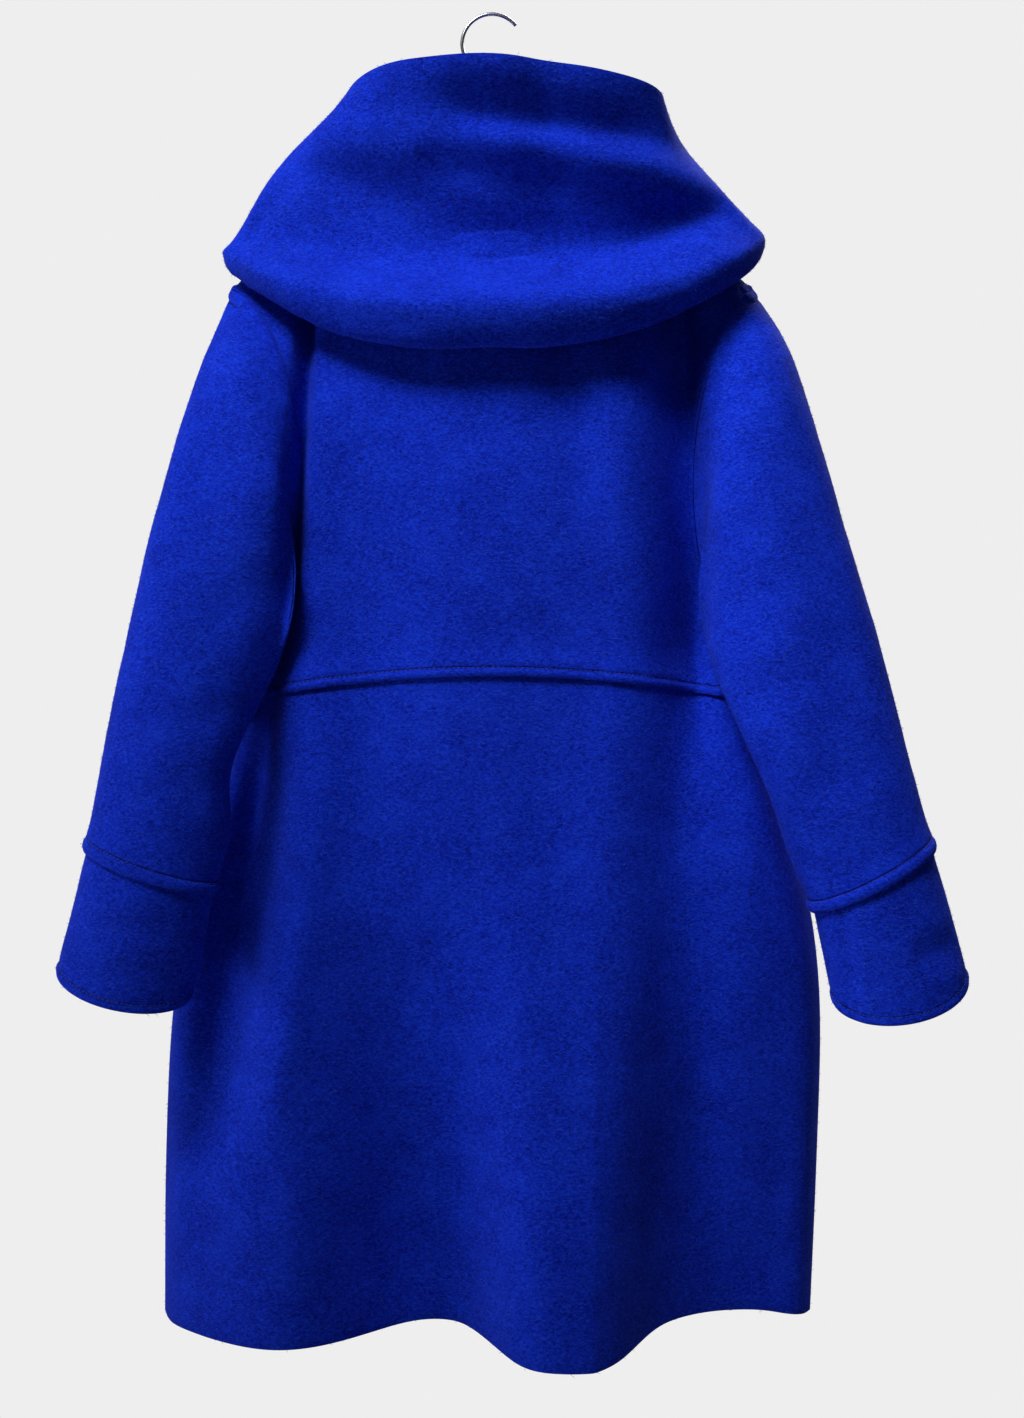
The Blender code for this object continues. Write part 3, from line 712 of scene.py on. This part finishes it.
# %% [markdown]
# ## The hood's roll and the hollow above it
#
# The hood's lower part hangs over the neck as a heavy roll, and above it the cloth falls into a hollow
# whose upper side leans out. The solid carries this form plainly. On the real coat the roll lies closer
# to the back, so it is let in by about 30 mm. The hollow sags in the middle. Each row of a table gives
# one place across the hood in millimetres, and the places between are blended.

# %% The roll and the hollow across the hood
RollPoint = namedtuple("RollPoint", "x top full inward")
ROLL = (
    RollPoint(-238, -160, -200, 4),
    RollPoint(-205, -165, -207, 12),
    RollPoint(-164, -170, -215, 22),
    RollPoint(-92, -172, -230, 28),
    RollPoint(-10, -170, -234, 28),
    RollPoint(49, -168, -234, 29),
    RollPoint(140, -118, -225, 31),
    RollPoint(190, -130, -215, 18),
    RollPoint(238, -160, -205, 5),
)
HollowPoint = namedtuple("HollowPoint", "x z depth above below")
HOLLOW = (
    HollowPoint(-228, -176, 0, 14, 14),
    HollowPoint(-205, -182, 10, 18, 16),
    HollowPoint(-164, -193, 21, 24, 18),
    HollowPoint(-92, -226, 15, 50, 24),
    HollowPoint(-10, -233, 17, 52, 31),
    HollowPoint(49, -233, 17, 52, 31),
    HollowPoint(140, -222, 17, 48, 23),
    HollowPoint(190, -204, 9, 34, 20),
    HollowPoint(224, -190, 0, 30, 20),
)
print("places across the hood:", len(ROLL), "for the roll,", len(HOLLOW), "for the hollow")

# %% Let the roll in and deepen the hollow
LEAN = 0.15
LEAN_FROM = -150
LEAN_DROP = 0.3
BLEND_STEPS = (-16, -8, 0, 8, 16)


def blend(table, x):
    """The columns of a table at each x, averaged over 32 mm so that its corners don't show."""
    rows = np.array(table, dtype=float) * MM
    near = x[:, None] + np.array(BLEND_STEPS) * MM
    return [np.interp(near, rows[:, 0], column).mean(axis=1) for column in rows.T[1:]]


def shape_hood(shell):
    """Lets the roll in, sinks the hollow above it and leans the hood's top out."""
    at = shell.outside
    points, normals = shell.points[at], shell.normals[at]
    behind = smooth_step(points[:, 1], 20 * MM, 45 * MM)
    facing = smooth_step(normals[:, 1], 0.0, 0.3) * behind
    top, full, inward = blend(ROLL, points[:, 0])
    roll = inward * smooth_step(top - points[:, 2], 0.0, top - full) * behind
    z, depth, above, below = blend(HOLLOW, points[:, 0])
    height = points[:, 2] - z
    hollow = depth * np.exp(-((height / np.where(height > 0, above, below)) ** 2)) * facing
    lean = LEAN * np.maximum(points[:, 2] - LEAN_FROM * MM, 0.0) * facing
    moves = np.zeros_like(shell.points)
    moves[at, 1] = lean - hollow - roll
    moves[at, 2] = -LEAN_DROP * lean
    press(shell, moves)
    print("the roll is let in by", round(roll.max() / MM), "mm, the hollow by", round(hollow.max() / MM))


# %% [markdown]
# ## Making the cloth
#
# A row holds a piece's solid, its level of subdivision, its creases, the inset of its topstitching, the
# rectangle and the area it was cut to, and how many loose fibres it gets. The bodice, sleeves and cuffs
# have narrow folds and laps, so they get one level more than the broad pieces.

# %% Make the cloth pieces
ClothPiece = namedtuple("ClothPiece", "node levels creases inset flat area fibres")
CLOTH_PIECES = (
    ClothPiece("back_bodice", 3, BACK_CREASES, 8 * MM, (0.50, 0.50), 0.191, 11000),
    ClothPiece("back_skirt", 2, BACK_CREASES, None, (0.76, 0.60), 0.394, 22000),
    ClothPiece("front_left", 2, LEFT_FRONT_CREASES, None, (0.40, 1.04), 0.320, 11000),
    ClothPiece("front_right", 2, RIGHT_FRONT_CREASES, None, (0.40, 1.04), 0.329, 11000),
    ClothPiece("sleeve_left", 3, LEFT_SLEEVE_CREASES, 11 * MM, (0.38, 0.54), 0.161, 10000),
    ClothPiece("sleeve_right", 3, RIGHT_SLEEVE_CREASES, 11 * MM, (0.40, 0.54), 0.170, 10000),
    ClothPiece("cuff_left", 3, LEFT_CUFF_CREASES, 7 * MM, (0.32, 0.13), 0.0337, 2400),
    ClothPiece("cuff_right", 3, RIGHT_CUFF_CREASES, 7 * MM, (0.32, 0.13), 0.0329, 2400),
    ClothPiece("hood", 2, HOOD_CREASES, None, (1.00, 0.46), 0.332, 22000),
)
OWN_MIDDLE = ("sleeve_left", "sleeve_right", "cuff_left", "cuff_right")

cloth, shells, rims = {}, {}, {}
for seed, plan in enumerate(CLOTH_PIECES):
    middle = own_middle(plan.node) if plan.node in OWN_MIDDLE else body_middle
    mesh = smooth_copy(plan.node, plan.levels, middle)
    shells[plan.node] = open_shell(mesh)
    crease_shell(shells[plan.node], plan.creases, seed, folded=plan.node == "hood")
    if plan.node == "hood":
        shape_hood(shells[plan.node])
    if plan.node.startswith("front"):
        draw_side_seam(shells[plan.node])
    rims[plan.node] = lap(shells[plan.node], plan.inset)
    round_edges(mesh)
    cloth[plan.node] = finish_piece(plan.node + "_cloth", mesh, wool, plan.node)
print("cloth triangles:", sum(len(c.data.polygons) * 2 for c in cloth.values()))
print("rim points:", {node: len(rim) for node, rim in rims.items() if rim})

# %% [markdown]
# ## Thread
#
# The topstitching is a matt polyester thread in the cloth's own blue, about 0.7 mm thick, in stitches
# 3.4 mm long. Each stitch is a small flattened grain that lies in the groove. All the stitches of a
# piece are one mesh.

# %% Thread material
PLY_PITCH = 0.8


def make_thread():
    # Spun polyester: dull, with painted shade in the grooves that slant between its twisted plies
    thread, tree, shader = new_material("matt_blue_thread")
    place = add(tree, "ShaderNodeTexCoord").outputs["Object"]
    # A diagonal wave repeats every 2 pi / 10 units at a scale of 1
    scale = 1000 * 2 * math.pi / 10 / PLY_PITCH
    plies = add(
        tree, "ShaderNodeTexWave", {"Vector": place}, {"Scale": scale}, bands_direction="DIAGONAL"
    ).outputs["Fac"]
    # Painted shade in the grooves between the plies
    colour = add(
        tree,
        "ShaderNodeMix",
        {"Factor": plies},
        {"A": linear("0a2494"), "B": linear("1238cc")},
        data_type="RGBA",
    ).outputs["Result"]
    tree.links.new(colour, shader.inputs["Base Color"])
    shader.inputs["Roughness"].default_value = 0.7
    return thread


thread = make_thread()
print("plies every", PLY_PITCH, "mm")

# %% Stitches
STITCH_PITCH = 4.2 * MM
STITCH_RADII = (1.7 * MM, 0.42 * MM, 0.34 * MM)
LONGEST_RIM_STEP = 12 * MM


def walk_rim(shell, rim, pitch):
    """Places every pitch along a rim that is ordered around its middle: point, way in and way along."""
    keys = list(rim)
    spots = shell.points[keys]
    arms = spots - spots.mean(axis=0)
    flat = np.ptp(arms[:, 1]) < 0.2 * np.ptp(arms[:, 0])
    turn = arms[:, 0] if flat else np.arctan2(arms[:, 1], arms[:, 0])
    order = np.argsort(turn)
    line = spots[order]
    ways = np.array([rim[keys[k]] for k in order])
    steps = np.linalg.norm(np.diff(line, axis=0), axis=1)
    length = np.concatenate(([0.0], np.cumsum(steps)))
    places = []
    for at in np.arange(pitch, length[-1] - pitch, pitch):
        k = int(np.searchsorted(length, at)) - 1
        if steps[k] < LONGEST_RIM_STEP:
            share = (at - length[k]) / steps[k]
            spot = line[k] + share * (line[k + 1] - line[k])
            places.append((Vector(spot), Vector(ways[k]), Vector(line[k + 1] - line[k]).normalized()))
    return places


def sew(name, shell, rim, inset, thread):
    """Stitches along a lap, laid on the shell's outside."""
    surface = BVHTree.FromPolygons(shell.points.tolist(), shell.quads.tolist())
    bm = bmesh.new()
    for spot, way_in, along in walk_rim(shell, rim, STITCH_PITCH):
        place, normal, _, _ = surface.find_nearest(spot + way_in * inset)
        side = normal.cross(along).normalized()
        turned = Matrix((along, side, normal)).transposed().to_4x4()
        shape = Matrix.Diagonal((*STITCH_RADII, 1.0))
        matrix = Matrix.Translation(place + normal * 0.1 * MM) @ turned @ shape
        bmesh.ops.create_uvsphere(bm, u_segments=8, v_segments=5, radius=1.0, matrix=matrix)
    mesh = bpy.data.meshes.new(name)
    bm.to_mesh(mesh)
    bm.free()
    return finish_piece(name, mesh, thread, None)


for plan in CLOTH_PIECES:
    if plan.inset:
        name = plan.node + "_stitches"
        sew(name, shells[plan.node], rims[plan.node], plan.inset, thread)

# %% [markdown]
# ## Nap
#
# Loose fibre ends stand a little off the felt and soften its outline. They are scattered over the
# outside of each piece as bent slivers, 2.5 to 5.5 mm long, most of them lying across the cloth as the
# tufts do. Each stands for a small wisp, about ten times as thick as one fibre, so that it shows. All
# the fibres of a piece are one mesh, made from arrays.

# %% Fibres
FIBRE_LENGTH = (2.5, 5.5)
FIBRE_LIFT = (0.08, 0.26)
FIBRE_HALF_WIDTH = (0.10, 0.17)


def scatter(shell, count, rng):
    """Random places on a shell's outside, by area, with the normal at each."""
    a, b, c, d = (shell.points[shell.quads[:, k]] for k in range(4))
    spans = np.cross(c - a, d - b)
    sizes = np.linalg.norm(spans, axis=1)
    which = rng.choice(len(sizes), size=count, p=sizes / sizes.sum())
    u, v = rng.random((2, count, 1))
    low, high = a[which] * (1 - u) + b[which] * u, d[which] * (1 - u) + c[which] * u
    return low * (1 - v) + high * v, spans[which] / sizes[which, None]


def unit(vectors):
    return vectors / np.maximum(np.linalg.norm(vectors, axis=1), 1e-9)[:, None]


def grow_nap(name, shell, count, material, seed):
    """One mesh of bent slivers on a shell's outside."""
    rng = np.random.default_rng(seed)
    root, normal = scatter(shell, count, rng)
    across = unit(np.cross((0.0, 0.02, 1.0), normal))
    up = np.cross(normal, across)
    angle = rng.normal(0.0, 0.6, (count, 1)) + np.pi * rng.integers(0, 2, (count, 1))
    way = across * np.cos(angle) + up * np.sin(angle)
    side = np.cross(normal, way)
    length = rng.uniform(*FIBRE_LENGTH, (count, 1)) * MM
    lift = rng.uniform(*FIBRE_LIFT, (count, 1))
    bend = rng.normal(0.0, 0.5, (count, 1))
    middle = root + length * (0.5 * way + lift * normal)
    tip = middle + length * 0.5 * (way * np.cos(bend) + side * np.sin(bend) + lift * 0.3 * normal)
    root = root - 0.2 * MM * normal
    width = rng.uniform(*FIBRE_HALF_WIDTH, (count, 1)) * MM
    left, right = -side * width, side * width
    corners = np.stack((root + left, root + right, middle + right, middle + left, tip), axis=1)
    first = np.arange(count)[:, None] * 5
    blades = (first + (0, 3, 2, 1)).tolist() + (first + (3, 4, 2)).tolist()
    mesh = bpy.data.meshes.new(name)
    mesh.from_pydata(corners.reshape(-1, 3).tolist(), [], blades)
    return finish_piece(name, mesh, material, None)


print("fibres are", FIBRE_LENGTH[0], "to", FIBRE_LENGTH[1], "mm long")

# %% Fibre material and the nap of each piece
DYE_PATCH = 5.0


def make_fibre():
    # Single fibres let light through, so they look paler than the felt, and each took the dye differently
    fibre, tree, shader = new_material("loose_wool_fibre")
    place = add(tree, "ShaderNodeTexCoord").outputs["Object"]
    dye = add(tree, "ShaderNodeTexNoise", {"Vector": place}, {"Scale": 1000 / DYE_PATCH}).outputs["Fac"]
    colour = add(
        tree,
        "ShaderNodeMix",
        {"Factor": dye},
        {"A": linear("1434b8"), "B": linear("2a58f6")},
        data_type="RGBA",
    ).outputs["Result"]
    tree.links.new(colour, shader.inputs["Base Color"])
    shader.inputs["Roughness"].default_value = 0.85
    shader.inputs["Specular IOR Level"].default_value = 0.2
    return fibre


fibre = make_fibre()
for seed, plan in enumerate(CLOTH_PIECES):
    grow_nap(plan.node + "_nap", shells[plan.node], plan.fibres, fibre, seed)
print("fibres:", sum(plan.fibres for plan in CLOTH_PIECES))

# %% [markdown]
# ## The cut of each piece
#
# A sheet of cloth keeps its area however it hangs, so each piece's row gives the size it was cut to, and
# here those areas are summed. Its nap and its stitches carry its name.

# %% Sum the cuts
print("cut in all:", round(sum(plan.area for plan in CLOTH_PIECES), 2), "square metres")

# %% [markdown]
# ## The hanger
#
# The hook is drawn steel wire and the bar is turned beech under a clear satin lacquer. Both keep their
# solids' form, and their copies are merged and rounded by subdivision.


# %% Steel material
def make_steel():
    # Drawn wire: bright, with fine die lines along it
    steel, tree, shader = new_material("drawn_steel_wire")
    place = add(tree, "ShaderNodeTexCoord").outputs["Object"]
    grain = add(
        tree,
        "ShaderNodeTexNoise",
        {"Vector": place},
        {"Scale": 1000 / 1.2, "Detail": 2.0},
    ).outputs["Fac"]
    rough = add(
        tree,
        "ShaderNodeMapRange",
        {"Value": grain},
        {"To Min": 0.2, "To Max": 0.38},
    ).outputs["Result"]
    tree.links.new(rough, shader.inputs["Roughness"])
    shader.inputs["Base Color"].default_value = linear("b9bcc0")
    shader.inputs["Metallic"].default_value = 1.0
    return steel


steel = make_steel()
print("steel nodes:", len(steel.node_tree.nodes))


# %% Beech material
def make_beech():
    # Beech: pale pinkish brown, with short dark ray flecks along the grain
    beech, tree, shader = new_material("lacquered_beech")
    place = add(tree, "ShaderNodeTexCoord").outputs["Object"]
    flecks_at = add(
        tree, "ShaderNodeMapping", {"Vector": place}, {"Scale": (1000 / 9.0, 1000 / 1.1, 1000 / 1.1)}
    ).outputs["Vector"]
    flecks = add(
        tree, "ShaderNodeTexNoise", {"Vector": flecks_at}, {"Scale": 1.0, "Detail": 2.0}
    ).outputs["Fac"]
    bands_at = add(
        tree, "ShaderNodeMapping", {"Vector": place}, {"Scale": (1000 / 160.0, 1000 / 7.0, 1000 / 7.0)}
    ).outputs["Vector"]
    bands = add(tree, "ShaderNodeTexNoise", {"Vector": bands_at}, {"Scale": 1.0}).outputs["Fac"]
    tone = add(
        tree, "ShaderNodeMath", {0: flecks, 2: bands}, {1: 0.7}, operation="MULTIPLY_ADD"
    ).outputs["Value"]
    ramp = add(tree, "ShaderNodeValToRGB", {"Fac": tone})
    ramp.color_ramp.elements[0].position = 0.62
    ramp.color_ramp.elements[0].color = linear("a9774c")
    ramp.color_ramp.elements[1].position = 1.0
    ramp.color_ramp.elements[1].color = linear("d9b083")
    tree.links.new(ramp.outputs["Color"], shader.inputs["Base Color"])
    shader.inputs["Roughness"].default_value = 0.42
    shader.inputs["Coat Weight"].default_value = 0.3
    shader.inputs["Coat Roughness"].default_value = 0.25
    return beech


beech = make_beech()
print("beech nodes:", len(beech.node_tree.nodes))


# %% Make the hanger's pieces
def rounded_copy(node, levels):
    bm = merged_copy(node)
    join_quads(bm)
    crease = bm.edges.layers.float.new("crease_edge")
    for edge in bm.edges:
        if edge.calc_face_angle(0.0) > math.radians(60):
            edge[crease] = 0.8
    return subdivided(bm, node, levels)


hook = finish_piece("hook_wire", rounded_copy("hanger_hook", 1), steel, "hanger_hook")
bar = finish_piece("shoulder_bar", rounded_copy("hanger_bar", 2), beech, "hanger_bar")
print("hook faces", len(hook.data.polygons), "bar faces", len(bar.data.polygons))

# %% [markdown]
# ## Floor and light
#
# The coat hangs in front of an even pale ground. A pale floor lies well below the hem. The main light
# is a large soft box with a grid, above and to the left of the camera, so the hood is brightest and the
# skirt falls off into deeper blue. A weak one at the left lifts the sleeve, and others light the front.

# %% Floor
FLOOR_BELOW = 2.05
FLOOR_RADIUS = 2.2
FLOOR_PALE = "e6e6e6"
FLOOR_GLOW = 0.6


def make_floor():
    bm = bmesh.new()
    bmesh.ops.create_circle(bm, cap_ends=True, segments=96, radius=FLOOR_RADIUS)
    bmesh.ops.translate(bm, verts=bm.verts, vec=(0.0, 0.0, -FLOOR_BELOW))
    mesh = bpy.data.meshes.new("floor")
    bm.to_mesh(mesh)
    bm.free()
    paint, tree, shader = new_material("pale_floor_paint")
    shader.inputs["Base Color"].default_value = linear(FLOOR_PALE)
    shader.inputs["Roughness"].default_value = 0.9
    # The camera sees the floor as evenly pale as the ground, but the coat gets only its real bounce
    shader.inputs["Emission Color"].default_value = linear(FLOOR_PALE)
    seen = add(tree, "ShaderNodeLightPath").outputs["Is Camera Ray"]
    glow = add(tree, "ShaderNodeMath", {0: seen}, {1: FLOOR_GLOW}, operation="MULTIPLY").outputs["Value"]
    tree.links.new(glow, shader.inputs["Emission Strength"])
    mesh.materials.append(paint)
    floor = bpy.data.objects.new("floor", mesh)
    bpy.context.scene.collection.objects.link(floor)


make_floor()
print("floor", FLOOR_BELOW, "m below the hook")

# %% Light
SoftBox = namedtuple("SoftBox", "name place aim width height spread watts colour")
SOFT_BOXES = (
    SoftBox("key", (0.88, 1.25, 1.70), (0.0, 0.1, 0.0), 1.5, 1.1, 36, 7.9, "ffffff"),
    SoftBox("side_left", (1.9, 0.35, -0.9), (0.3, 0.0, -0.75), 0.8, 1.0, 60, 2.2, "ffffff"),
    SoftBox("fill_camera", (-0.4, 2.2, -0.5), (0.0, 0.0, -0.4), 1.6, 1.2, 180, 2.3, "f4f7ff"),
    SoftBox("front", (-0.9, -1.6, 1.1), (0.0, 0.0, -0.5), 1.4, 1.2, 180, 60.0, "ffffff"),
    SoftBox("front_fill", (1.7, -1.6, -0.4), (0.0, 0.0, -0.7), 1.4, 1.4, 180, 8.0, "f4f7ff"),
)


def hang_light(box):
    data = bpy.data.lights.new(box.name, "AREA")
    data.shape = "RECTANGLE"
    data.size, data.size_y = box.width, box.height
    data.spread = math.radians(box.spread)
    data.energy = box.watts
    data.color = linear(box.colour)[:3]
    light = bpy.data.objects.new(box.name, data)
    light.location = box.place
    light.rotation_euler = (Vector(box.aim) - Vector(box.place)).to_track_quat("-Z", "Y").to_euler()
    light.visible_camera = False
    bpy.context.scene.collection.objects.link(light)


for box in SOFT_BOXES:
    hang_light(box)
print("soft boxes", len(SOFT_BOXES))

# %% Pale ground
GROUND = "eeeeee"
AMBIENT = 0.04

world = bpy.data.worlds.new("pale_studio")
world.use_nodes = True
bpy.context.scene.world = world
ground = world.node_tree.nodes["Background"]
ground.inputs["Color"].default_value = linear(GROUND)
seen = add(world.node_tree, "ShaderNodeLightPath").outputs["Is Camera Ray"]
strength = add(world.node_tree, "ShaderNodeMapRange", {"Value": seen}, {"To Min": AMBIENT, "To Max": 1.0})
world.node_tree.links.new(strength.outputs["Result"], ground.inputs["Strength"])
bpy.context.scene.view_settings.view_transform = "Standard"
print("ambient light", AMBIENT)
